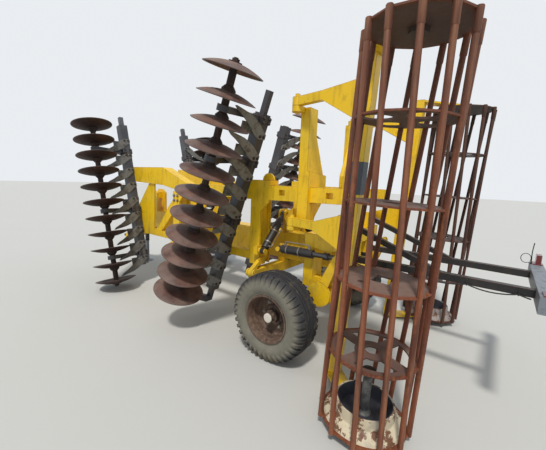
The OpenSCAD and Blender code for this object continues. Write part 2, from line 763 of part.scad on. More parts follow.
// Two tubes and their struts that carry the light bar
module light_frame() {
    h = light_tube / 2;
    color(black) for (s = [-1, 1]) side(s) {
        box([light_tube_x - h, light_y + 50, light_z - h], [light_tube_x + h, lift_y - 75, light_z + h]);
        translate([light_tube_x - 25, 0, 0]) rotate([90, 0, 90]) linear_extrude(50)
            polygon([[lift_y - 75, 1330], [lift_y - 75, 1385], [-1330, light_z + h], [-1200, light_z + h]]);
    }
}

// Cross beam behind the machine that carries the lamps
module light_beam() {
    color(zinc) box([-light_half, light_y - 50, light_z - 60], [light_half, light_y + 50, light_z + 60]);
}

// Blank tail lamps at the ends of the cross beam
module tail_lamps() {
    color([0.45, 0.05, 0.06]) for (s = [-1, 1]) side(s) {
        box([light_half - 130, light_y - 40, light_z + 60], [light_half - 10, light_y + 30, light_z + 70]);
        box([light_half - 120, light_y - 30, light_z + 70], [light_half - 20, light_y + 10, light_z + 150]);
    }
}

// Fold cylinder's line: origin at its foot on the wing, Z towards the rod's pin
module fold_line(s) {
    side(s) translate([fold_foot_x, fold_y, fold_foot_z])
        rotate([0, atan2(fold_top_x - fold_foot_x, fold_top_z - fold_foot_z), 0]) children();
}

// Barrel of a fold cylinder
module fold_barrel(s) {
    color(black) fold_line(s) difference() {
        union() {
            rotate([90, 0, 0]) translate([0, 0, -22]) cylinder(h = 44, r = 32);
            translate([0, 0, 10]) cylinder(h = 50, r = 21);
            translate([0, 0, 45]) cylinder(h = 395, r = fold_bore_r + 7);
            translate([0, 0, 438]) cylinder(h = 28, r = fold_bore_r - 2);
        }
        rotate([90, 0, 0]) translate([0, 0, -30]) cylinder(h = 60, r = fold_pin_r);
        translate([0, 0, 56]) cylinder(h = 379, r = fold_bore_r);
        translate([0, 0, 430]) cylinder(h = 40, r = fold_rod_r + run_c);
    }
}

// Rod of a fold cylinder
module fold_rod(s) {
    color(zinc) fold_line(s) {
        translate([0, 0, 58]) cylinder(h = 20, r = fold_bore_r - run_c);
        translate([0, 0, 60]) cylinder(h = fold_len - 60, r = fold_rod_r);
        translate([0, 0, fold_len]) rotate([90, 0, 0]) translate([0, 0, -22]) cylinder(h = 44, r = 32);
    }
}

// Lift cylinder's line: origin at its pin on the chassis, Z towards the crank
module lift_line(s) {
    side(s) translate([lift_cyl_x, lift_base_y, lift_base_z])
        rotate([90 - atan2(lift_eye_z - lift_base_z, lift_base_y - lift_eye_y), 0, 0]) children();
}

// Barrel of a lift cylinder
module lift_barrel(s) {
    color(black) lift_line(s) difference() {
        union() {
            translate([0, 0, 10]) cylinder(h = 40, r = 22);
            translate([0, 0, 40]) cylinder(h = 365, r = 44);
            rotate([0, 90, 0]) translate([0, 0, -24]) cylinder(h = 48, r = 30);
        }
        rotate([0, 90, 0]) translate([0, 0, -30]) cylinder(h = 60, r = 16);
        translate([0, 0, 52]) cylinder(h = 333, r = 37);
        translate([0, 0, 380]) cylinder(h = 30, r = 25 + run_c);
    }
}

// Rod of a lift cylinder with the thick collar of its eye
module lift_rod(s) {
    color(zinc) lift_line(s) {
        translate([0, 0, 180]) cylinder(h = 30, r = 37 - run_c);
        translate([0, 0, 180]) cylinder(h = lift_len - 180, r = 25);
        translate([0, 0, lift_len - 145]) cylinder(h = 50, r = 36);
        translate([0, 0, lift_len]) rotate([0, 90, 0]) translate([0, 0, -19]) cylinder(h = 38, r = 32);
    }
}

// Moves the design frame to the middle of the whole machine's box
module placed() {
    translate([0, -origin_y, 0]) children();
}

placed() chassis();
placed() drawbar();
placed() hitch_eye();
placed() jack_tube();
placed() jack_foot();
placed() lift_axle();
placed() light_frame();
placed() light_beam();
placed() tail_lamps();
placed() wing_frame(-1);  // wing_frame_left
placed() wing_frame(1);  // wing_frame_right
placed() wing_post(-1);  // wing_post_left
placed() wing_post(1);  // wing_post_right
placed() gang_beams(-1);  // gang_beams_left
placed() gang_beams(1);  // gang_beams_right
placed() hangers(-1);  // hangers_left
placed() hangers(1);  // hangers_right
placed() scrapers(-1);  // scrapers_left
placed() scrapers(1);  // scrapers_right
placed() discs(-1, front_gang);  // front_discs_left
placed() discs(1, front_gang);  // front_discs_right
placed() spools(-1, front_gang);  // front_spools_left
placed() spools(1, front_gang);  // front_spools_right
placed() discs(-1, rear_gang(-1));  // rear_discs_left
placed() discs(1, rear_gang(1));  // rear_discs_right
placed() spools(-1, rear_gang(-1));  // rear_spools_left
placed() spools(1, rear_gang(1));  // rear_spools_right
placed() roller_frame(-1);  // roller_frame_left
placed() roller_frame(1);  // roller_frame_right
placed() roller_cage(-1);  // roller_cage_left
placed() roller_cage(1);  // roller_cage_right
placed() roller_hubs(-1);  // roller_hubs_left
placed() roller_hubs(1);  // roller_hubs_right
placed() tyre(-1);  // tyre_left
placed() tyre(1);  // tyre_right
placed() wheel_rim(-1);  // wheel_rim_left
placed() wheel_rim(1);  // wheel_rim_right
placed() fold_barrel(-1);  // fold_barrel_left
placed() fold_barrel(1);  // fold_barrel_right
placed() fold_rod(-1);  // fold_rod_left
placed() fold_rod(1);  // fold_rod_right
placed() lift_barrel(-1);  // lift_barrel_left
placed() lift_barrel(1);  // lift_barrel_right
placed() lift_rod(-1);  // lift_rod_left
placed() lift_rod(1);  // lift_rod_right
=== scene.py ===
"""Looks of a trailed folding disc harrow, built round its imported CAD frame."""

import json
import logging
import math
from dataclasses import dataclass, field
from enum import Enum
from functools import cache
from typing import Any, Optional, Sequence

import bpy
import numpy as np
from mathutils import Matrix, Vector

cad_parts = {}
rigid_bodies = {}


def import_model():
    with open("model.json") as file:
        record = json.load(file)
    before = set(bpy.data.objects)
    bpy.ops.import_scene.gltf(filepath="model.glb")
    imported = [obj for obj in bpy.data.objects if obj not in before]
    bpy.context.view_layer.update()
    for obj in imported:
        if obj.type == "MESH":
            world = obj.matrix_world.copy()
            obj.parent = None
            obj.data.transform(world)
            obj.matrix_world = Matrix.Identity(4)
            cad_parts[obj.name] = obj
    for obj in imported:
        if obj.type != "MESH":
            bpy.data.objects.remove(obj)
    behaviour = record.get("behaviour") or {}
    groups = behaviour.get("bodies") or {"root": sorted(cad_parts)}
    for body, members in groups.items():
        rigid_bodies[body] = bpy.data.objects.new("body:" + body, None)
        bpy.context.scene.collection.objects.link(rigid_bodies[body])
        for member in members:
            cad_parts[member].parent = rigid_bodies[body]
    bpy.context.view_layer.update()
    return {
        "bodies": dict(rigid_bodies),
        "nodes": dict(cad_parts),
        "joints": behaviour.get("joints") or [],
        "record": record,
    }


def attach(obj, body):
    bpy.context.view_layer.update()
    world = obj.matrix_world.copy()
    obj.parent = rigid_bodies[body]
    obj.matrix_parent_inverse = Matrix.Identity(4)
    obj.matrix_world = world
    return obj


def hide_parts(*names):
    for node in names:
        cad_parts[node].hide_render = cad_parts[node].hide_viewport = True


LOG = logging.getLogger("harrow")
MILLI = 0.001
# How far the design's origin lies behind the middle of the machine's plan box, in metres
ORIGIN_Y = 1.3285
# A roller's axle at its lowest plate, on the right side of the design, and its lean in radians
ROLLER_AXLE = (1190, -1038, 76)
ROLLER_LEAN = math.radians(2.7)
Vec = Sequence[float]
Colour = tuple[int, int, int]
Place = tuple[float, float, float]
Axle = tuple[Place, float]
Material = bpy.types.Material


def place(x: Any, y: Any, z: Any) -> np.ndarray:
    """Turns a point of the design in millimetres, or arrays of them, into points of the frame in metres."""
    return np.stack(np.broadcast_arrays(x * MILLI, y * MILLI - ORIGIN_Y, z * MILLI), -1)


def linear(colour: Colour) -> tuple[float, ...]:
    """Turns a display colour of 0 to 255 into a linear colour with alpha."""
    return (*(((c / 255 + 0.055) / 1.055) ** 2.4 if c > 10 else c / 255 / 12.92 for c in colour), 1.0)


class Side(Enum):
    """The machine's sides, looking forward."""

    LEFT = -1
    RIGHT = 1

    @property
    def word(self) -> str:
        """The side's name as the CAD nodes have it."""
        return self.name.lower()

    def place(self, at: Vec) -> Place:
        """Turns a point of the design's right side into one of this side of the frame, in metres."""
        return tuple(place(self.value * at[0], *at[1:]))


# -------- shaders


class Value:
    """A socket that takes part in Python sums; each sum adds a Math node."""

    def __init__(self, tree: "Tree", socket: bpy.types.NodeSocket) -> None:
        """Keeps the socket and the tree that it belongs to."""
        self.tree = tree
        self.socket = socket

    def _math(self, operation: str, *others: Any) -> "Value":
        """Adds a Math node on this value and the others, which fill its sockets in order."""
        return self.tree.add("ShaderNodeMath", {"operation": operation}, dict(enumerate((self, *others))))

    def __add__(self, other: Any) -> "Value":
        """This plus the other."""
        return self._math("ADD", other)

    __radd__ = __add__

    def __sub__(self, other: Any) -> "Value":
        """This less the other."""
        return self._math("SUBTRACT", other)

    def __rsub__(self, other: Any) -> "Value":
        """The other less this."""
        return self.tree.add("ShaderNodeMath", {"operation": "SUBTRACT"}, {0: other, 1: self})

    def __mul__(self, other: Any) -> "Value":
        """This times the other."""
        return self._math("MULTIPLY", other)

    __rmul__ = __mul__

    def power(self, other: Any) -> "Value":
        """This to the power of the other."""
        return self._math("POWER", other)

    def sine(self) -> "Value":
        """The sine of this."""
        return self._math("SINE")

    def clamp(self) -> "Value":
        """This kept between 0 and 1."""
        return self.tree.add("ShaderNodeClamp", {}, {0: self})

    def step(self, low: float, high: float) -> "Value":
        """A smooth rise from 0 at low to 1 at high."""
        inputs = {"Value": self, "From Min": low, "From Max": high}
        return self.tree.add("ShaderNodeMapRange", {"interpolation_type": "SMOOTHSTEP"}, inputs)


class Tree:
    """A node tree that Python expressions fill."""

    def __init__(self, tree: bpy.types.NodeTree) -> None:
        """Clears the tree."""
        self.tree = tree
        self.tree.nodes.clear()

    def add(self, kind: str, settings: dict[str, Any], values: dict[Any, Any], out: Any = 0) -> Value:
        """Adds a node.

        Args:
            kind: the node's type.
            settings: its settings, set first.
            values: numbers, colours or values by socket index or name.
            out: the output to return, by index or name.

        Returns:
            The chosen output.
        """
        node = self.tree.nodes.new(kind)
        for key, setting in settings.items():
            setattr(node, key, setting)
        for key, value in values.items():
            self.feed(node.inputs[key], value)
        return Value(self, node.outputs[out])

    def feed(self, socket: bpy.types.NodeSocket, value: Any) -> None:
        """Links or sets one socket."""
        if isinstance(value, Value):
            self.tree.links.new(value.socket, socket)
        else:
            socket.default_value = value


class Shader(Tree):
    """One procedural material with its node tree."""

    # Brings the mask of a right-angled edge up to about 1
    EDGE_GAIN = 7

    def __init__(self, name: str) -> None:
        """Makes the material with a Principled shader and Object coordinates."""
        self.material = bpy.data.materials.new(name)
        self.material.use_nodes = True
        super().__init__(self.material.node_tree)
        shaded = self.add("ShaderNodeBsdfPrincipled", {}, {})
        self.principled = shaded.socket.node
        self.feed(self.tree.nodes.new("ShaderNodeOutputMaterial").inputs[0], shaded)
        self.coordinates = self.add("ShaderNodeTexCoord", {}, {}, "Object")

    def mapped(self, origin: Vec = (0, 0, 0), turn: Vec = (0, 0, 0), scale: Vec = (1, 1, 1)) -> Value:
        """Object coordinates from an origin, turned and scaled.

        Args:
            origin: the point of the frame that becomes the pattern's centre.
            turn: Euler angles in radians by which the pattern's axes are turned.
            scale: size of a pattern unit along each axis.

        Returns:
            The pattern's coordinates.
        """
        inputs = {"Vector": self.coordinates, "Location": origin, "Rotation": turn, "Scale": scale}
        return self.add("ShaderNodeMapping", {"vector_type": "TEXTURE"}, inputs)

    def around(self, origin: Vec, lean: float) -> tuple[Value, Value]:
        """Distance from an axle through the origin that leans about X, and height along it."""
        x, y, z = self.split(self.mapped(origin, (lean, 0, 0)))
        return (x * x + y * y).power(0.5), z

    def noise(self, scale: float, detail: float, rough: float = 0.55,
              vector: Optional[Value] = None) -> Value:
        """Fractal noise of so many cells to the metre."""
        inputs = {"Vector": vector or self.coordinates, "Scale": scale, "Detail": detail, "Roughness": rough}
        return self.add("ShaderNodeTexNoise", {}, inputs)

    def rings(self, radius: Value, scale: float, detail: float) -> Value:
        """Noise along one number, which makes rings of a distance from an axle."""
        inputs = {"W": radius, "Scale": scale, "Detail": detail}
        return self.add("ShaderNodeTexNoise", {"noise_dimensions": "1D"}, inputs)

    def layers(self, base: Any, *coats: tuple[Any, Any]) -> Value:
        """Lays coats over a base colour by Mix nodes, whose colour sockets come after those for numbers.

        Args:
            base: a display colour or a value.
            coats: pairs of a mask and such a colour.

        Returns:
            The last mix.
        """
        for mask, colour in coats:
            below, above = (tone if isinstance(tone, Value) else linear(tone) for tone in (base, colour))
            base = self.add("ShaderNodeMix", {"data_type": "RGBA"}, {0: mask, 6: below, 7: above}, 2)
        return base

    def split(self, vector: Value) -> list[Value]:
        """The three parts of a vector."""
        node = self.add("ShaderNodeSeparateXYZ", {}, {0: vector}).socket.node
        return [Value(self, out) for out in node.outputs]

    def edge(self, width: float) -> Value:
        """0 on open faces and up to 1 along sharp edges, out to about the width in metres.

        The mask is one less the dot product of the face's normal and its normal with rounded edges.
        """
        rounded = self.add("ShaderNodeBevel", {"samples": 4}, {"Radius": width})
        plain = self.add("ShaderNodeNewGeometry", {}, {}, "Normal")
        dot = self.add("ShaderNodeVectorMath", {"operation": "DOT_PRODUCT"}, {0: rounded, 1: plain}, "Value")
        return ((1 - dot) * self.EDGE_GAIN).clamp()

    def upward(self) -> Value:
        """1 on faces that look up, 0 on those that look down or aside."""
        normal = self.add("ShaderNodeNewGeometry", {}, {}, "Normal")
        return self.split(normal)[2].step(0.1, 0.9)

    def finish(self, colour: Any, rough: Any, metal: Any = 0.0, bump: Optional[Value] = None,
               depth: float = 0.001, strength: float = 0.5, coat: Any = 0.0) -> Material:
        """Feeds the Principled shader.

        Args:
            colour: base colour.
            rough: roughness.
            metal: metallic share.
            bump: height for the Bump node.
            depth: the bump's height in metres.
            strength: the bump's strength.
            coat: weight of the clear coat.

        Returns:
            The finished material.
        """
        inputs = {"Base Color": colour, "Roughness": rough, "Metallic": metal, "Coat Weight": coat}
        if bump is not None:
            values = {"Strength": strength, "Distance": depth, "Height": bump}
            inputs["Normal"] = self.add("ShaderNodeBump", {}, values)
        for name, value in inputs.items():
            self.feed(self.principled.inputs[name], value)
        return self.material


@dataclass(frozen=True)
class Finish:
    """The look of a piece."""

    name: str  # The material's name

    def build(self, s: Shader) -> Material:
        """Makes the material in its shader."""
        raise NotImplementedError


@dataclass(frozen=True)
class AxleSteel(Finish):
    """Steel whose look depends on the distance from an axle."""

    origin: Place  # A point on the axle, in metres
    lean: float  # The axle's turn about X, in radians


@dataclass(frozen=True)
class WornPaint(Finish):
    """Faded paint with chipped edges, rust stains and dust; on the gang grey the faded patches are partly a
    painted sky reflection.
    """

    colour: Colour  # Fresh paint
    faded: Colour  # Paint bleached by the sun, and on the gang grey partly a painted sky reflection
    stain: Colour  # Streaks and blotches
    chips: float  # How much of the surface is chipped, 0 to 1
    gloss: float  # Roughness of clean paint
    dust: float  # Strength of the dust low down

    def build(self, s: Shader) -> Material:
        """Mixes paint, stains, chips and dust by noise, edges and height."""
        patches, fine = s.noise(1.7, 3), s.noise(38, 5, 0.7)
        streak = s.noise(4, 5, 0.7, s.mapped(scale=(0.3, 0.3, 1.5)))
        edges = s.edge(0.007)
        worn = (edges * (0.5 + fine) + fine * 0.55 + patches * 0.12).step(1.12 - self.chips, 1.2 - self.chips)
        halo = (edges * 0.6 + fine * 0.6 + patches * 0.15).step(0.95 - self.chips, 1.2 - self.chips)
        height = s.split(s.coordinates)[2]
        grime = (1 - height.step(0.1, 1.3)) * s.noise(7, 5).step(0.35, 0.7) * self.dust
        colour = s.layers(
            self.colour,
            # Faded patches; on the gang grey partly a painted sky reflection
            (patches.step(0.4, 0.68) * 0.75, self.faded),
            (streak.step(0.48, 0.74) * 0.5, self.stain),
            (s.noise(11, 5, 0.75).step(0.54, 0.7) * 0.35, self.stain),
            (halo * 0.3, (150, 96, 30)),
            (worn, s.layers((70, 36, 20), (s.noise(90, 3), (132, 70, 36)))),
            ((grime + s.upward() * 0.16 * self.dust).clamp(), (122, 108, 82)),
        )
        rough = self.gloss + fine * 0.18 + worn * 0.35 + grime * 0.3
        relief = s.noise(420, 2) * 0.12 + fine * 0.1 - worn * 0.9
        return s.finish(colour, rough, 0.0, relief, 0.0006, 0.5, 0.12)


@dataclass(frozen=True)
class RustySteel(Finish):
    """Steel that has rusted outdoors."""

    dark: Colour  # Deep rust
    middle: Colour  # Common rust
    light: Colour  # Fresh, dusty rust
    shine: float  # Share of bare metal on the edges

    def build(self, s: Shader) -> Material:
        """Lays three rust tones over each other by noise at three scales."""
        spots, grain = s.noise(26, 6, 0.7), s.noise(300, 3, 0.7)
        streak = s.noise(9, 4, 0.6, s.mapped(scale=(0.2, 0.2, 2.4)))
        edges = s.edge(0.004) * self.shine
        colour = s.layers(
            self.dark,
            (s.noise(3.1, 4).step(0.36, 0.64), self.middle),
            ((streak * 0.6 + spots * 0.5).step(0.5, 0.74) * 0.7, self.light),
            (spots.step(0.58, 0.72) * 0.6, self.dark),
            (edges, (150, 138, 126)),
            (grain * 0.35, self.dark),
        )
        rough = 0.62 + spots * 0.3 - edges * 0.3
        return s.finish(colour, rough, (edges * 1.6).clamp() * 0.8, grain * 0.5 + spots, 0.0009, 0.55)


@dataclass(frozen=True)
class CageSteel(AxleSteel):
    """Bars and plates of a cage roller."""

    dim: float  # How far a dark painted shade covers the whole cage, 0 to 1
    bars: float = 0.308  # Distance of the bars' middles from the axle
    half: float = 0.018  # Half a bar's thickness

    def build(self, s: Shader) -> Material:
        """Orange rust on the bars, worn bright outside and lightened there by a painted highlight, and
        grey-brown rust on the plates, with painted shade on their faces that don't look up and over the whole
        cage by its share.
        """
        radius, z = s.around(self.origin, self.lean)
        bar = radius.step(self.bars - self.half * 1.9, self.bars - self.half * 1.2)
        coarse, spots, grain = s.noise(2.3, 4), s.noise(34, 6, 0.7), s.noise(260, 3, 0.7)
        streak = s.noise(7, 5, 0.65, s.mapped(scale=(0.16, 0.16, 2.2)))
        # The bars' outer crest: worn steel, lightened partly as a painted highlight
        crest = radius.step(self.bars + self.half * 0.45, self.bars + self.half) * streak.step(0.3, 0.6)
        rusty = s.layers(
            (88, 44, 26),
            (coarse.step(0.38, 0.6), (120, 62, 36)),
            ((streak * 0.7 + spots * 0.4).step(0.5, 0.72) * 0.75, (158, 92, 54)),
            (spots.step(0.6, 0.74) * 0.7, (56, 34, 26)),
            (z.step(1.3, 2.5) * 0.45, (84, 56, 42)),
            (crest * 0.35, (168, 124, 96)),
        )
        colour = s.layers(
            (92, 68, 60),
            (coarse.step(0.35, 0.65), (122, 98, 88)),
            (spots.step(0.5, 0.7) * 0.6, (110, 66, 46)),
            # Painted shade on the faces that don't look up
            ((1 - s.upward()) * 0.55, (52, 36, 30)),
            (s.edge(0.004) * 0.7, (140, 92, 72)),
            (bar, rusty),
            (grain * 0.3, (50, 34, 28)),
            # Painted shade over the whole cage, by its share
            (self.dim, (40, 30, 28)),
        )
        rough = 0.55 + spots * 0.3 - crest * 0.15
        return s.finish(colour, rough, crest * 0.35, grain * 0.5 + spots, 0.0009, 0.55)


@dataclass(frozen=True)
class DiscSteel(AxleSteel):
    """Worked disc steel under a skin of rust, in rings about the gang's axle."""

    deep: Colour  # Old rust
    fresh: Colour  # Newer rust
    dusty: float  # How much dust lies on the upper faces

    def build(self, s: Shader) -> Material:
        """Rings by the distance from the axle, with noise that drags them out."""
        radius, _ = s.around(self.origin, self.lean)
        swirl = s.noise(6, 4, 0.6, s.mapped(self.origin, (self.lean, 0, 0)))
        rings = s.rings(radius + swirl * 0.012, 95.0, 3.0)
        spots, low = s.noise(30, 6, 0.7), (48, 32, 28)
        rim = radius.step(0.262, 0.276)
        colour = s.layers(
            self.deep,
            (swirl.step(0.38, 0.66), self.fresh),
            (rings.step(0.45, 0.72) * 0.45, low),
            (spots.step(0.56, 0.72) * 0.5, self.fresh),
            ((1 - radius.step(0.05, 0.16)) * 0.7, low),
            (s.upward() * s.noise(5, 4).step(0.3, 0.7) * self.dusty, (134, 122, 114)),
            (rim * 0.55, (104, 90, 84)),
        )
        rough = 0.52 + spots * 0.3 - rim * 0.2
        relief = rings * 0.5 + s.noise(260, 3, 0.7) * 0.4 + spots * 0.4
        return s.finish(colour, rough, rim * 0.35 + rings * 0.2, relief, 0.0007, 0.55)


@dataclass(frozen=True)
class ScraperSteel(Finish):
    """Dark crescent blades on a beam's back, and pale holder plates on its face."""

    rear: Axle  # A point on the rear gang's axle, in metres, and the axle's lean in radians
    front: Axle  # The same of the front gang
    parting: float = 0.9  # Between the two gangs, along the machine, in metres

    def build(self, s: Shader) -> Material:
        """Tells blades from plates by the distance behind or before each gang's own plane."""
        rear, front = (s.split(s.mapped(origin, (lean, 0, 0)))[1].step(-0.04, 0.0)
                       for origin, lean in (self.rear, self.front))
        ahead = s.split(s.coordinates)[1].step(self.parting - 0.01, self.parting + 0.01)
        plate = rear * (1 - ahead) + front * ahead
        blot, grain = s.noise(13, 6, 0.7), s.noise(240, 4, 0.7)
        edges = s.edge(0.003)
        pale = s.layers((168, 168, 162), (blot.step(0.46, 0.64) * 0.8, (112, 102, 92)))
        colour = s.layers(
            (132, 132, 128),
            (blot.step(0.46, 0.66), (88, 78, 70)),
            (plate, pale),
            (edges * 0.4, (120, 112, 104)),
            (grain * 0.3, (60, 52, 46)),
            (ahead * 0.35, (52, 48, 46)),
        )
        metal = (plate * 0.35 + edges * 0.3).clamp()
        return s.finish(colour, 0.5 + blot * 0.35, metal, grain + blot * 0.5, 0.0005, 0.5)


@dataclass(frozen=True)
class Rubber(Finish):
    """Weathered tyre rubber, with dust where the wall bulges."""

    origin: Place  # The wheel's centre, in metres
    reach: float  # The tyre's outer radius

    def build(self, s: Shader) -> Material:
        """Darkens from the dusty wall to the tread by the distance from the wheel's axis."""
        _, y, z = s.split(s.mapped(self.origin))
        radius = (y * y + z * z).power(0.5)
        dust, fine = s.noise(9, 6, 0.65), s.noise(150, 4, 0.7)
        wall = 1 - radius.step(self.reach - 0.09, self.reach - 0.012)
        colour = s.layers(
            (46, 46, 50),
            (wall * (0.45 + dust * 0.75), (126, 122, 108)),
            (dust.step(0.52, 0.72) * 0.35, (142, 134, 110)),
            (fine * 0.3, (34, 34, 36)),
            ((1 - z.step(-0.42, -0.3)) * 0.5, (104, 92, 66)),
        )
        relief = fine * 0.4 + s.rings(radius, 160.0, 2.0) * wall * 0.5
        return s.finish(colour, 0.72 + fine * 0.16, 0.0, relief, 0.0012, 0.5)


@dataclass(frozen=True)
class HubSteel(AxleSteel):
    """Drum, shaft and stub of a roller, told apart by height and by distance from its axle."""

    paint: Colour  # The flaked paint
    cup: float = 0.196  # Inner radius of the open drum
    shaft: float = 0.052  # Radius outside the shaft's collar
    collar: float = 0.33  # Height of the collar's lower face
    middle: float = 0.8  # A height between the drum and the upper stub

    def build(self, s: Shader) -> Material:
        """Flakes outside the drum, dark blue-grey in it, dull steel on the shaft, dark rust at the top."""
        radius, z = s.around(self.origin, self.lean)
        blot, grain = s.noise(14, 6, 0.7), s.noise(120, 4, 0.7)
        flaked = s.layers(
            self.paint,
            (blot.step(0.5, 0.56), (104, 66, 42)),
            (s.noise(5, 3).step(0.52, 0.66) * 0.6, (150, 146, 138)),
        )
        colour = s.layers(
            (52, 56, 58),
            (blot.step(0.4, 0.6), (98, 100, 98)),
            (z.step(self.collar - 0.004, self.collar), (26, 28, 30)),
            (radius.step(self.shaft, self.shaft + 0.006), (34, 42, 54)),
            (radius.step(self.cup - 0.003, self.cup), flaked),
            (z.step(self.middle - 0.1, self.middle + 0.1), (52, 40, 34)),
            (grain * 0.25, (92, 74, 62)),
        )
        return s.finish(colour, 0.5 + grain * 0.25, 0.0, grain + blot, 0.0005, 0.4)


@dataclass(frozen=True)
class PlainMetal(Finish):
    """Plated, cast or polished metal, and hose rubber."""

    colour: Colour
    second: Colour  # Stains
    metal: float  # Metallic share
    rough: float  # Roughness
    stain: float  # How much is stained, 0 to 1
    grit: float = 200  # Size of the surface grain, in cells to the metre

    def build(self, s: Shader) -> Material:
        """Stains plain metal by noise."""
        blot, grain = s.noise(14, 6, 0.7), s.noise(self.grit, 4, 0.7)
        mask = (blot + s.upward() * 0.08).step(0.66 - self.stain * 0.3, 0.78 - self.stain * 0.2)
        colour = s.layers(self.colour, (mask, self.second), (grain * 0.25, self.second))
        rough = self.rough + mask * 0.3 + grain * 0.12
        return s.finish(colour, rough, self.metal * (1 - mask * 0.85), grain + mask * 0.3, 0.0004, 0.4)


@dataclass(frozen=True)
class Lens(Finish):
    """Coloured lamp glass with moulded ribs."""

    colour: Colour  # The glass
    pitch: float = 0.012  # Distance between ribs, in metres

    def build(self, s: Shader) -> Material:
        """A coat over a deep colour, with ribs both ways in the bump."""
        x, _, z = s.split(s.coordinates)
        ribs, rows = ((axis * (math.tau / self.pitch)).sine() for axis in (x, z))
        dust = s.noise(60, 4)
        colour = s.layers(self.colour, (dust.step(0.5, 0.8) * 0.5, (110, 96, 84)))
        return s.finish(colour, 0.22 + dust * 0.25, 0.0, ribs * rows, 0.001, 0.5, 0.6)


# The finishes that pieces share
YELLOW = WornPaint("worn_yellow", (234, 190, 4), (216, 182, 40), (146, 106, 20), 0.36, 0.4, 0.6)
# The gang grey's pale bluish patches are partly bleached paint and partly a painted sky reflection
GANG_GREY = WornPaint("worn_gang_grey", (52, 54, 60), (92, 96, 104), (62, 52, 46), 0.3, 0.42, 0.25)
BLACK = WornPaint("worn_black", (22, 23, 26), (44, 44, 46), (40, 36, 34), 0.2, 0.42, 0.3)
RIM_RUST = RustySteel("rim_rust", (60, 46, 38), (96, 74, 60), (150, 126, 106), 0.2)
SPOOL_IRON = RustySteel("spool_iron", (38, 30, 28), (62, 46, 40), (96, 74, 62), 0.1)
ZINC = PlainMetal("dull_zinc", (136, 142, 150), (104, 108, 112), 0.55, 0.46, 0.3)
DARK_BOLT = PlainMetal("dark_bolt", (78, 76, 74), (62, 44, 34), 0.5, 0.5, 0.5)
BOLT_ZINC = PlainMetal("bolt_zinc", (150, 146, 136), (104, 72, 50), 0.7, 0.42, 0.5)
CHROME = PlainMetal("hard_chrome", (92, 92, 94), (50, 46, 42), 0.8, 0.3, 0.5, 500)
HUB_CAP = PlainMetal("pale_cap", (212, 206, 194), (150, 132, 110), 0.1, 0.5, 0.3, 120)
HOSE_RUBBER = PlainMetal("hose_rubber", (28, 28, 30), (66, 62, 56), 0.0, 0.6, 0.4, 700)
PANEL_GREY = PlainMetal("panel_grey", (58, 66, 74), (86, 90, 92), 0.1, 0.4, 0.2)
RED_LENS = Lens("red_lens", (104, 20, 20))


@cache
def material_of(finish: Finish) -> Material:
    """The material of a finish, built at its first use."""
    return finish.build(Shader(finish.name))


def dress(node: bpy.types.Object, finish: Finish) -> None:
    """Gives every slot of an object one finish."""
    slots = node.data.materials
    if not slots:
        slots.append(None)
    for index in range(len(slots)):
        slots[index] = material_of(finish)


FRAME: dict[str, Any] = {}


def dress_nodes(finishes: dict[str, Finish], side: Optional[Side] = None) -> None:
    """Gives CAD nodes their finishes, by name, or by the name before a side's ending."""
    for name, finish in finishes.items():
        dress(FRAME["nodes"][f"{name}_{side.word}" if side else name], finish)


def set_out(name: str, data: Any) -> bpy.types.Object:
    """Makes an object of a mesh, a camera or a light, and links it to the scene."""
    item = bpy.data.objects.new(name, data)
    bpy.context.scene.collection.objects.link(item)
    return item


# -------- surfaces


@dataclass
class Skin:
    """Points and faces that grow part by part and become one piece."""

    points: list[np.ndarray] = field(default_factory=list)
    faces: list[np.ndarray] = field(default_factory=list)
    count: int = 0

    def add(self, points: np.ndarray, faces: np.ndarray) -> None:
        """Adds points (n, 3) and quads (m, 4) that index them."""
        self.points.append(points)
        self.faces.append(faces + self.count)
        self.count += len(points)

    def grid(self, points: np.ndarray, wrap_u: bool = False, wrap_v: bool = False) -> None:
        """Adds a sheet of points (u, v, 3), joined to quads.

        Args:
            points: the sheet's points.
            wrap_u: join the last row to the first.
            wrap_v: join the last column to the first.
        """
        nu, nv = points.shape[:2]
        u = np.arange(nu if wrap_u else nu - 1)
        v = np.arange(nv if wrap_v else nv - 1)
        a, b = np.meshgrid(u, v, indexing="ij")
        c, d = (a + 1) % nu, (b + 1) % nv
        quads = np.stack([a * nv + b, c * nv + b, c * nv + d, a * nv + d], -1).reshape(-1, 4)
        self.add(points.reshape(-1, 3), quads)

    def piece(self, name: str, finish: Finish, body: str, slot: str, smooth: float = 35) -> bpy.types.Object:
        """Makes the mesh object and has it ride on a body.

        Args:
            name: the piece's name.
            finish: its finish.
            body: the CAD body that carries it.
            slot: the record's material slot; not used.
            smooth: edges flatter than this angle are shaded smooth.

        Returns:
            The new object.
        """
        mesh = bpy.data.meshes.new(name)
        mesh.from_pydata(np.concatenate(self.points).tolist(), [], np.concatenate(self.faces).tolist())
        mesh.validate()
        piece = set_out(name, mesh)
        mesh.polygons.foreach_set("use_smooth", np.ones(len(mesh.polygons), bool))
        mesh.set_sharp_from_angle(angle=math.radians(smooth))
        mesh.update()
        dress(piece, finish)
        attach(piece, body)
        LOG.info("%s: %d faces on %s", name, len(mesh.polygons), body)
        return piece


def axes_of(direction: Vec) -> np.ndarray:
    """Three unit rows: two across a direction, and the direction itself."""
    w = np.array(direction, float)
    w /= np.linalg.norm(w)
    helper = np.array([0.0, 0, 1]) if abs(w[2]) < 0.9 else np.array([0.0, 1, 0])
    u = np.cross(helper, w)
    u /= np.linalg.norm(u)
    return np.stack([u, np.cross(w, u), w])


def leaning(lean: float, sign: int = 1) -> np.ndarray:
    """Unit rows of axes that lean about X: along X by the sign, across the lean, and up along it."""
    c, s = math.cos(lean), math.sin(lean)
    return np.array([[sign, 0, 0], [0, c, s], [0, -s, c]])


def barrel(radius: float, height: float) -> list[tuple[float, float]]:
    """The profile of a plain cylinder that stands on its centre."""
    return [(0, 0), (radius, 0), (radius, height), (0, height)]


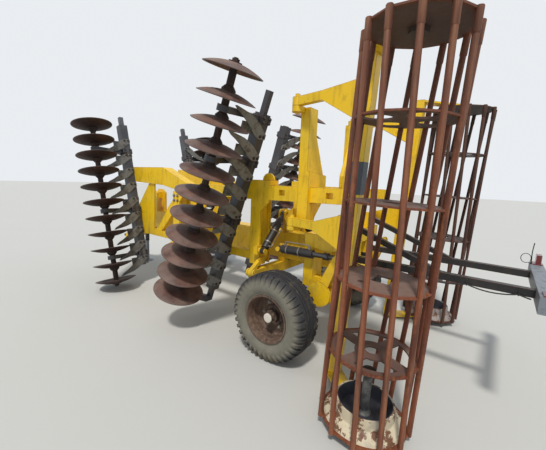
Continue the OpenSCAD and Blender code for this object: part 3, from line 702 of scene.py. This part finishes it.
def revolve(skin: Skin, centre: Vec, direction: Vec, profile: Sequence[Vec], sides: int) -> None:
    """Adds a surface of revolution: radius and height along the profile, turned round the direction.

    A point is centre + radius (cos t u + sin t v) + height w, with t running once round.

    Args:
        skin: takes the faces.
        centre: the profile's origin.
        direction: the axis.
        profile: pairs of radius and height.
        sides: number of sides, six for a hexagon.
    """
    u, v, w = axes_of(direction)
    t = np.arange(sides) * math.tau / sides
    line = np.array(profile, float)
    ring = np.cos(t)[:, None] * u + np.sin(t)[:, None] * v
    points = np.array(centre) + line[None, :, 0, None] * ring[:, None] + line[None, :, 1, None] * w
    skin.grid(points, wrap_u=True)


def bolts(skin: Skin, places: Sequence[Vec], direction: Vec, size: float) -> None:
    """Adds hexagon heads with washers and threaded ends at the places, facing the direction.

    Args:
        skin: takes the faces.
        places: points on the surface.
        direction: outward direction.
        size: the thread's diameter in metres.
    """
    # Radii and heights in thread diameters; a thread's end face stops a tenth of a millimetre from its axis
    tip = 0.0001 / size
    washer = barrel(1.15, 0.16)
    head = [(0, 0.16), (0.92, 0.16), (0.92, 0.72), (0.78, 0.8), (0, 0.8)]
    stem = [(0, 0.8), (0.48, 0.8), (0.48, 1.15), (0.4, 1.25), (tip, 1.25)]
    for spot in places:
        for profile, sides in ((washer, 16), (head, 6), (stem, 10)):
            revolve(skin, spot, direction, np.array(profile) * size, sides)


def smooth_line(points: Sequence[Vec], count: int) -> np.ndarray:
    """A Catmull-Rom curve through the points.

    Between b and c, with a before and d after, and f from 0 to 1, it is
    (2b + (c - a) f + (2a - 5b + 4c - d) f^2 + (3b - a - 3c + d) f^3) / 2.

    Args:
        points: the points that it passes.
        count: number of points on the curve.

    Returns:
        The curve as an array (count, 3).
    """
    p = np.array(points, float)
    p = np.concatenate([2 * p[:1] - p[1:2], p, 2 * p[-1:] - p[-2:-1]])
    spans = len(p) - 3
    t = np.linspace(0, spans, count)
    i = np.minimum(t.astype(int), spans - 1)
    f = (t - i)[:, None]
    a, b, c, d = p[i], p[i + 1], p[i + 2], p[i + 3]
    return 0.5 * (2 * b + (c - a) * f + (2 * a - 5 * b + 4 * c - d) * f**2 + (3 * b - a - 3 * c + d) * f**3)


def tube(skin: Skin, path: np.ndarray, radius: float, sides: int = 8) -> None:
    """Adds a round tube along a path: at each point a ring across the path's direction.

    Args:
        skin: takes the faces.
        path: points (n, 3).
        radius: the tube's radius in metres.
        sides: number of sides.
    """
    along = np.gradient(path, axis=0)
    along /= np.linalg.norm(along, axis=1)[:, None]
    u = np.zeros_like(path)
    u[0] = axes_of(along[0])[0]
    for i in range(1, len(path)):
        u[i] = u[i - 1] - along[i] * np.dot(u[i - 1], along[i])
        u[i] /= np.linalg.norm(u[i])
    v = np.cross(along, u)
    t = np.arange(sides) * math.tau / sides
    turn = np.cos(t)[None, :, None] * u[:, None] + np.sin(t)[None, :, None] * v[:, None]
    first, last = (np.repeat(end[:, None], sides, 1) for end in (path[:1], path[-1:]))
    skin.grid(np.concatenate([first, path[:, None] + radius * turn, last])[::-1], wrap_v=True)


def slab(skin: Skin, low: Vec, high: Vec, axes: Optional[np.ndarray] = None, origin: Vec = (0, 0, 0)) -> None:
    """Adds a block between two corners, optionally on turned axes from an origin.

    Args:
        skin: takes the faces.
        low: lowest corner.
        high: highest corner.
        axes: three unit rows, or none for the frame's own.
        origin: origin of the turned axes.
    """
    lo, hi = np.array(low, float), np.array(high, float)
    corners = np.array([[i, j, k] for i in (0, 1) for j in (0, 1) for k in (0, 1)], float)
    points = lo + corners * (hi - lo)
    if axes is not None:
        points = np.array(origin) + points @ axes
    quads = np.array([[0, 1, 3, 2], [4, 6, 7, 5], [0, 4, 5, 1], [2, 3, 7, 6], [0, 2, 6, 4], [1, 5, 7, 3]])
    skin.add(points, quads)


# -------- sub-assemblies


@dataclass
class RoadWheel:
    """A wheel's tyre, with ribs round the tread and slanted lugs on its shoulders, its nuts and its cap."""

    side: Side
    centre_x: float = 0.915  # Distance of the wheel's middle from the machine's middle
    reach: float = 0.434  # The tyre's outer radius
    width: float = 0.332  # Its overall width
    rim: float = 0.223  # Radius of its bead
    seat: float = 0.062  # The bead's distance from the tyre's side
    steps: int = 160  # Points round the tyre
    lugs: int = 38  # Lugs round each shoulder
    slant: float = 0.05  # How far a lug goes round on its way outwards, in radians
    studs: int = 6  # Nuts
    circle: float = 0.13  # Radius of their circle
    nut_x: float = -0.006  # Where the nuts stand, outwards of the wheel's middle
    cap_x: float = 0.0962  # Where the cap stands

    def section(self) -> list[tuple[float, float]]:
        """Pairs of radius and place across, over the left half of the carcass and back on the right."""
        # Bead and bulged wall: radius outside the bead, and distance from the tyre's side
        wall = [(0, self.seat), (0.006, 0.036), (0.02, 0.024), (0.03, 0.026), (0.034, 0.02), (0.06, 0.006),
                (0.09, 0.001)]
        # Rounded shoulder and grooved crown: depth below the tread, and distance from the tyre's side
        crown = [(0.095, 0.004), (0.07, 0.012), (0.05, 0.024), (0.034, 0.04), (0.022, 0.058), (0.016, 0.07),
                 (0.006, 0.074), (0.005, 0.094), (0.018, 0.097), (0.018, 0.107), (0.003, 0.11),
                 (0.002, 0.128), (0.016, 0.131), (0.016, 0.14), (0, 0.143)]
        half = [(self.rim + up, self.width / 2 - into) for up, into in wall]
        half += [(self.reach - down, self.width / 2 - into) for down, into in crown] + [(self.reach, 0.006)]
        return [(radius, -across) for radius, across in half] + half[::-1]

    def build(self) -> None:
        """Revolves the section, closes it between the beads, and adds lugs, nuts and cap."""
        word, sign = self.side.word, self.side.value
        centre = np.array([sign * self.centre_x, -ORIGIN_Y, self.reach])
        cover, nuts, cap = Skin(), Skin(), Skin()
        seat = self.width / 2 - self.seat
        for profile in (self.section(), [(self.rim, seat), (self.rim, -seat)]):
            revolve(cover, centre, (1, 0, 0), profile, self.steps)
        self.shoulder_lugs(cover, centre)
        rubber = Rubber(f"tyre_rubber_{word}", tuple(centre), self.reach)
        piece = cover.piece(f"tyre_cover_{word}", rubber, f"wheel_{word}", "tyre", 28)
        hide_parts(f"tyre_{self.side.word}")
        t = np.arange(self.studs) * math.tau / self.studs
        ring = [np.full_like(t, self.nut_x * sign), self.circle * np.cos(t), self.circle * np.sin(t)]
        bolts(nuts, centre + np.stack(ring, -1), (sign, 0, 0), 0.018)
        nuts.piece(f"wheel_nuts_{word}", BOLT_ZINC, f"wheel_{word}", "rim_steel")
        dome = [(0, 0), (0.043, 0), (0.046, 0.003), (0.046, 0.012), (0.04, 0.017), (0.012, 0.019), (0, 0.019)]
        revolve(cap, centre + [sign * self.cap_x, 0, 0], (sign, 0, 0), dome, 32)
        cap.piece(f"hub_cap_{word}", HUB_CAP, f"wheel_{word}", "rim_steel")

    def shoulder_lugs(self, skin: Skin, centre: np.ndarray) -> None:
        """Adds blocks that follow the shoulder's curve, each at an angle plus a slant that grows outwards.

        Args:
            skin: takes the faces.
            centre: the wheel's centre.
        """
        # Along a lug: its foot's depth below the tread and distance from the tyre's side, how far its top
        # stands out and aside of the foot, and half its width in lug pitches
        down, into, out, aside, half = np.array([
            (0.018, 0.066, 0.014, 0.004, 0.33), (0.026, 0.05, 0.015, 0.009, 0.33),
            (0.04, 0.032, 0.014, 0.012, 0.3), (0.06, 0.017, 0.011, 0.011, 0.26),
            (0.085, 0.006, 0.006, 0.006, 0.21), (0.1, 0.003, -0.001, -0.001, 0.16),
        ]).T
        pitch = math.tau / self.lugs
        slant = np.linspace(0, self.slant, len(down))
        for mirror, shift in ((1, 0.5), (-1, 0)):
            for number in range(self.lugs):
                sheet = []
                for edge, lift in ((-1, 0), (-0.8, 1), (0.8, 1), (1, 0)):
                    t = (number + shift) * pitch + slant + edge * half * pitch
                    radius = self.reach - down + out * lift
                    x = (self.width / 2 - into + aside * lift) * mirror
                    sheet.append(np.stack([x, radius * np.cos(t), radius * np.sin(t)], -1))
                grid = np.stack(sheet)[::mirror]
                start = grid[:, :1].mean(0, keepdims=True).repeat(len(grid), 0)
                skin.grid(centre + np.concatenate([start, grid], 1)[:, ::-1])


@dataclass
class Gang:
    """One leaning row of discs with its beam's fittings, its sizes in millimetres."""

    side: Side
    front: bool  # True for a front gang
    origin: Place  # The lowest disc's place in the design, right side
    lean: float  # The axle's lean in degrees, positive towards the rear
    beam: tuple[float, float]  # Lower and upper end of the thick beam along the axle
    hangers: tuple[int, ...]  # The gaps between discs that hold hanger arms
    beam_x: float = 610  # Distance of the beam's middle from the machine's middle
    half_beam: float = 60  # Half the beam's side
    plate: float = 14  # Thickness of the plates that the bolts go through
    pitch: float = 240  # Distance between discs
    discs: int = 11

    @property
    def axle(self) -> Axle:
        """The lowest disc's place in the frame, in metres, and the lean in radians."""
        return self.side.place(self.origin), math.radians(self.lean)

    def build(self) -> None:
        """Dresses discs and spools, and adds the hangers' clamp bolts and the scrapers' bolts."""
        word = self.side.word
        # By row: rust tones and dust; how far a hanger stands above the disc below it, and a scraper above
        # its disc; and how much of the beam a scraper needs below and above that
        if self.front:
            row, rust = "front", ((50, 34, 30), (78, 52, 42), 0.25)
            hanger, scraper, below, above = 90, 261, 71, 29
        else:
            row, rust = "rear", ((78, 50, 42), (114, 76, 62), 0.42)
            hanger, scraper, below, above = 150, -261, 29, 71
        origin, lean = self.axle
        steel = DiscSteel(f"disc_steel_{row}_{word}", origin, lean, *rust)
        dress_nodes({f"{row}_discs": steel, f"{row}_spools": SPOOL_IRON}, self.side)
        # Bolts by place across and along the beam, its rear and front faces, and size
        rows = [(x, gap * self.pitch + hanger + z, (-1, 1), 0.018)
                for gap in self.hangers for z in (-22, 22) for x in (-44, 44)]
        rows += [(x, z, (-1,), 0.016) for z in np.arange(self.discs) * self.pitch + scraper
                 if self.beam[0] + below < z < self.beam[1] - above for x in (-30, 30)]
        fittings, axes = Skin(), leaning(lean, self.side.value)
        for x, z, faces, size in rows:
            for face in faces:
                spot = np.array([self.beam_x - self.origin[0] + x, face * (self.half_beam + self.plate), z])
                bolts(fittings, [origin + spot * MILLI @ axes], face * axes[1], size)
        fittings.piece(f"gang_bolts_{row}_{word}", DARK_BOLT, f"wing_{word}", "gang_paint")


@dataclass
class Cage:
    """A cage roller's steel, and the sleeves that join its bars to stubs on the top plate."""

    side: Side
    bars: int = 12
    reach: float = 0.312  # Distance of the bars' middles from the axle at both end plates
    twist: float = math.radians(25)  # How far the bars go round on their way up, in radians
    height: float = 2.59  # Distance between the end plates
    sleeve: tuple[float, float] = (0.0208, 0.118)  # Outer radius and length of a sleeve
    overlap: float = 0.006  # How far a sleeve goes into the top plate

    def build(self) -> None:
        """Dresses the cage and puts a sleeve round the upper end of each bar."""
        word, sign = self.side.word, self.side.value
        skin, axle = Skin(), self.side.place(ROLLER_AXLE)
        # The right roller's cage is darkened all over by painted shade
        finish = CageSteel(f"cage_steel_{word}", axle, ROLLER_LEAN, 0.65 if self.side is Side.RIGHT else 0.0)
        dress_nodes({"roller_cage": finish}, self.side)
        radius, length = self.sleeve
        top = length + self.overlap
        profile = [(0, 0), (radius - 0.002, 0), (radius, 0.003), (radius, top), (0, top)]
        for number in range(self.bars):
            angle = (number + 0.5) * math.tau / self.bars
            t = np.array([angle + sign * self.twist, angle])
            ends = np.stack([self.reach * np.cos(t), self.reach * np.sin(t), [0.0, self.height]], -1)
            low, high = axle + ends @ leaning(ROLLER_LEAN, sign)
            along = (high - low) / np.linalg.norm(high - low)
            revolve(skin, high - along * length, along, profile, 18)
        skin.piece(f"bar_sleeves_{word}", finish, f"roller_{word}", "rusted_steel")


@dataclass
class Wing:
    """A folded wing: rail, legs, post, roller, gangs, scrapers and hangers."""

    side: Side
    rail_x: float = 550  # The main rail's outer face in the design, in millimetres

    def build(self) -> None:
        """Dresses the wing's nodes, and adds the bolts of its rail, the roller and the gangs."""
        word, right = self.side.word, self.side is Side.RIGHT
        paint = (150, 142, 138) if right else (206, 194, 166)
        drum = HubSteel(f"hub_steel_{word}", self.side.place(ROLLER_AXLE), ROLLER_LEAN, paint)
        dress_nodes({"wing_frame": YELLOW, "wing_post": YELLOW, "gang_beams": GANG_GREY, "hangers": GANG_GREY,
                     "roller_frame": YELLOW, "roller_hubs": drum}, self.side)
        Cage(self.side).build()
        skin = Skin()
        spots = [self.side.place((self.rail_x, y, z)) for y in (2080, 2160) for z in (1400, 1470)]
        bolts(skin, spots, (self.side.value, 0, 0), 0.02)
        skin.piece(f"wing_bolts_{word}", BOLT_ZINC, f"wing_{word}", "frame_paint")
        # The right rear gang stands further forward and leans less, and its beam is longer
        sizes = ((1160, 1648, 425), 16.0, (-130, 2200)) if right else ((1160, 1208, 443), 20.0, (-130, 2130))
        rear = Gang(self.side, False, *sizes, (3, 6, 8))
        front = Gang(self.side, True, (1075, 2902, 162), -14.5, (145, 2450), (1, 4, 8))
        rear.build()
        front.build()
        dress_nodes({"scrapers": ScraperSteel(f"scraper_steel_{word}", rear.axle, front.axle)}, self.side)


@dataclass
class Ram:
    """Ports, bands and a steel pipe on a cylinder's barrel."""

    kind: str  # What it moves, as in the CAD bodies' names
    side: Side
    foot: Place  # The barrel's pivot in the design, right side, in millimetres
    head: Place  # The rod's pivot
    reach: float  # Where the far port stands, from the foot, in millimetres
    radius: float  # The barrel's radius
    across: Place  # Direction of the ports
    near: float = 0.075  # Where the near port stands, in metres
    clear: float = 0.034  # How far the pipe clears the barrel, in metres

    def build(self) -> None:
        """Sets two ports with hexagon unions and runs a bent pipe from one to the other."""
        foot, head = (np.array(self.side.place(pivot)) for pivot in (self.foot, self.head))
        along = (head - foot) / np.linalg.norm(head - foot)
        out = np.array(self.across, float)
        out -= along * np.dot(out, along)
        out /= np.linalg.norm(out)
        skin = Skin()
        r, reach = self.radius * MILLI, self.reach * MILLI
        near, far = foot + along * self.near, foot + along * reach
        for port in (near, far):
            spot = port + out * (r - 0.003)
            revolve(skin, spot, out, barrel(0.014, 0.016), 16)
            revolve(skin, spot + out * 0.016, out, barrel(0.0125, 0.014), 6)
        # The pipe's bends: distance from the barrel's middle, and distance inwards of the port
        bends = ((r + 0.02, 0), (r + self.clear, 0.006), (r + self.clear + 0.004, 0.05))
        rising = [near + out * up + along * on for up, on in bends]
        falling = [far + out * up - along * on for up, on in bends[::-1]]
        tube(skin, smooth_line(rising + falling, 36), 0.006)
        inner, outer, width = r + 0.0008, r + 0.004, 0.012
        for share in (0.3, 0.7):
            band = foot + along * (reach * share - width / 2)
            revolve(skin, band, along, [(inner, 0), (outer, 0), (outer, width), (inner, width)], 28)
        word = self.side.word
        skin.piece(f"{self.kind}_ram_pipe_{word}", BOLT_ZINC, f"{self.kind}_barrel_{word}", "cylinder_black")


@dataclass
class LightBar:
    """Cable and small fittings of the light bar, its sizes in millimetres."""

    tube_x: float = 325  # A tube's distance from the machine's middle
    height: float = 1000  # Height of the tubes
    beam_y: float = -1985  # Where the cross beam stands
    start_y: float = -520  # Where the cable comes out on the left tube
    tie_pitch: float = 330  # Distance between cable ties
    lamp_x: float = 500  # The right lamp's distance from the machine's middle

    def build(self) -> None:
        """Ties a cable along the left tube in shallow waves, and along the beam to the lamps."""
        cable, wires, ties = Skin(), Skin(), Skin()
        top, rear = self.height, self.beam_y
        y = np.linspace(self.start_y, rear + 70, 90)
        wave = np.abs(np.sin((y - y[0]) / self.tie_pitch * math.pi)) ** 0.8
        tube(cable, place(-self.tube_x - 36 - 6 * wave, y, top - 22 - 26 * wave), 0.0055)
        # Each tie: a strap under the tube, and its end upright beside the cable
        for tie in np.arange(self.start_y, rear + 70, -self.tie_pitch):
            for x, z in (((-34, 34), (-34, -30.5)), ((-44, -30.5), (-34, 20))):
                slab(ties, *place(np.array(x) - self.tube_x, tie + np.array((-4, 4)), top + np.array(z)))
        x = np.linspace(-480, 480, 60)
        sag = np.abs(np.sin(x / 240 * math.pi))
        tube(cable, place(x, rear + 44, top - 40 - 12 * sag), 0.005)
        cable.piece("lamp_cable", HOSE_RUBBER, "chassis", "dark_steel")
        # The bent stalk on the right lamp, and the wire that loops beside it
        q, t = np.linspace(0, 1, 12), np.linspace(-2.14, 3.6, 28)
        tube(wires, place(self.lamp_x, rear + 38 + 7 * np.sin(3 * q), top + 58 + 205 * q), 0.004)
        loop = place(self.lamp_x, rear + 85 + 38 * np.cos(t), top + 112 + 44 * np.sin(t))
        start, end = (place(self.lamp_x - dx, rear + 44, top + 57) for dx in (0, 6))
        tube(wires, np.stack([start, *loop, end]), 0.003)
        wires.piece("lamp_wires", HOSE_RUBBER, "chassis", "dark_steel")
        ties.piece("cable_ties", HOSE_RUBBER, "chassis", "dark_steel")


@dataclass
class BlankPlate:
    """The plain grey plate round two faces of a roller beam, its sizes in millimetres."""

    side: Side
    beam: tuple[float, float] = (-375, 414)  # The beam's middle from the roller's axle
    half: float = 55  # Half the beam's side
    low: float = 1566  # The plate's lower edge above the lowest roller plate
    high: float = 1826  # Its upper edge
    sheet: float = 3  # Its thickness
    inset: float = 4  # How far it ends short of the beam's edge

    def build(self) -> None:
        """Lays thin sheet on the beam's outer and rear faces, with rounded corners by bevel."""
        skin, word, sign = Skin(), self.side.word, self.side.value
        x, y = self.beam
        edge = self.half - self.inset
        east, rear = x + self.half, y - self.half
        for xs, ys in (((east, east + self.sheet), (rear - self.sheet, y + edge)),
                       ((x - edge, east), (rear - self.sheet, rear))):
            corners = np.stack([sorted((sign * xs[0], sign * xs[1])), ys, (self.low, self.high)], -1) * MILLI
            slab(skin, *corners, leaning(ROLLER_LEAN), self.side.place(ROLLER_AXLE))
        plate = skin.piece(f"blank_plate_{word}", PANEL_GREY, f"roller_frame_{word}", "dark_steel")
        bevel = plate.modifiers.new("soft_edges", "BEVEL")
        bevel.width, bevel.segments = 0.001, 2


@dataclass
class Chassis:
    """Main beam, drawbar, jack, lift axle, light bar and cylinders."""

    def build(self) -> None:
        """Dresses the chassis' nodes, and adds the cylinders' pipes, the cable and the blank plates."""
        dress_nodes({"chassis": YELLOW, "drawbar": YELLOW, "hitch_eye": BLACK, "jack_tube": BLACK,
                     "jack_foot": ZINC, "lift_axle": YELLOW, "light_frame": BLACK, "light_beam": ZINC,
                     "tail_lamps": RED_LENS})
        for side in Side:
            dress_nodes({"wheel_rim": RIM_RUST, "fold_barrel": BLACK, "fold_rod": CHROME,
                         "lift_barrel": BLACK, "lift_rod": CHROME}, side)
            Ram("fold", side, (568, 450, 942), (187, 450, 1352), 405, 45, (0, -1, 0)).build()
            Ram("lift", side, (665, 150, 1040), (665, -520, 1055), 360, 44, (0, 0, 1)).build()
        LightBar().build()
        for side in Side:
            BlankPlate(side).build()


# -------- stage

# The camera fitted to the photograph: its place before the scale that the discs' size settles, in metres
# of the design, its angles in degrees, and its focal length and the picture's width in pixels
EYE = (-3.080, -1.607, 1.676)
SCALE = 1.043
YAW, PITCH, ROLL = -52.93, 8.40, 2.29
FOCAL, PICTURE_WIDTH = 303.76, 546
SENSOR_MM = 36


def camera() -> None:
    """Places the camera where the photograph was taken from."""
    yaw, pitch, roll = (math.radians(angle) for angle in (YAW, PITCH, ROLL))
    forward = Vector((-math.cos(pitch) * math.sin(yaw), math.cos(pitch) * math.cos(yaw), -math.sin(pitch)))
    right = forward.cross(Vector((0, 0, 1))).normalized()
    up = right.cross(forward)
    c, s = math.cos(roll), math.sin(roll)
    cam = set_out("camera", bpy.data.cameras.new("camera"))
    cam.data.sensor_width = SENSOR_MM
    cam.data.lens = FOCAL / PICTURE_WIDTH * SENSOR_MM
    matrix = Matrix((right * c + up * s, up * c - right * s, -forward)).transposed().to_4x4()
    x, y, z = (axis * SCALE for axis in EYE)
    matrix.translation = Vector((x, y - ORIGIN_Y, z))
    cam.matrix_world = matrix
    bpy.context.scene.camera = cam


def pale_floor(half: float = 60) -> None:
    """Lays the pale floor, half of its side given in metres."""
    corners = [(-half, -half, 0), (half, -half, 0), (half, half, 0), (-half, half, 0)]
    mesh = bpy.data.meshes.new("floor")
    mesh.from_pydata(corners, [], [(0, 1, 2, 3)])
    floor = set_out("floor", mesh)
    s = Shader("pale_floor")
    colour = s.layers((186, 186, 182), (s.noise(0.8, 3) * 0.3, (176, 176, 172)))
    mesh.materials.append(s.finish(colour, 0.9))


def pale_sky() -> None:
    """Makes the world: a background for camera, glossy and transmission rays, and one for light."""
    world = bpy.data.worlds.new("studio")
    bpy.context.scene.world = world
    world.use_nodes = True
    tree = Tree(world.node_tree)
    rays = ("Camera", "Glossy", "Transmission")
    first, second, third = (tree.add("ShaderNodeLightPath", {}, {}, f"Is {ray} Ray") for ray in rays)
    seen, lit = (tree.add("ShaderNodeBackground", {}, {0: colour, 1: strength})
                 for colour, strength in (((0.82, 0.85, 0.88, 1), 1.0), ((0.86, 0.92, 1.0, 1), 0.75)))
    sky = tree.add("ShaderNodeMixShader", {}, {0: (first + (second + third)).clamp(), 1: lit, 2: seen})
    tree.feed(tree.tree.nodes.new("ShaderNodeOutputWorld").inputs[0], sky)


def soft_sun() -> None:
    """Sets a soft sun, which shines forwards and to the right."""
    sun = set_out("sun", bpy.data.lights.new("sun", "SUN"))
    sun.data.energy = 2.6
    sun.data.angle = math.radians(6)
    sun.data.color = (1.0, 0.96, 0.9)
    sun.rotation_euler = Vector((0.55, 0.25, -1.0)).to_track_quat("-Z", "Y").to_euler()


def main() -> None:
    """Builds the stage and the sub-assemblies round the frame, in order."""
    logging.basicConfig(level=logging.INFO, format="%(name)s %(message)s")
    FRAME.update(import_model())
    camera()
    pale_floor()
    pale_sky()
    soft_sun()
    bpy.context.scene.view_settings.view_transform = "Standard"
    Chassis().build()
    for side in Side:
        Wing(side).build()
        RoadWheel(side).build()


if __name__ == "__main__":
    main()
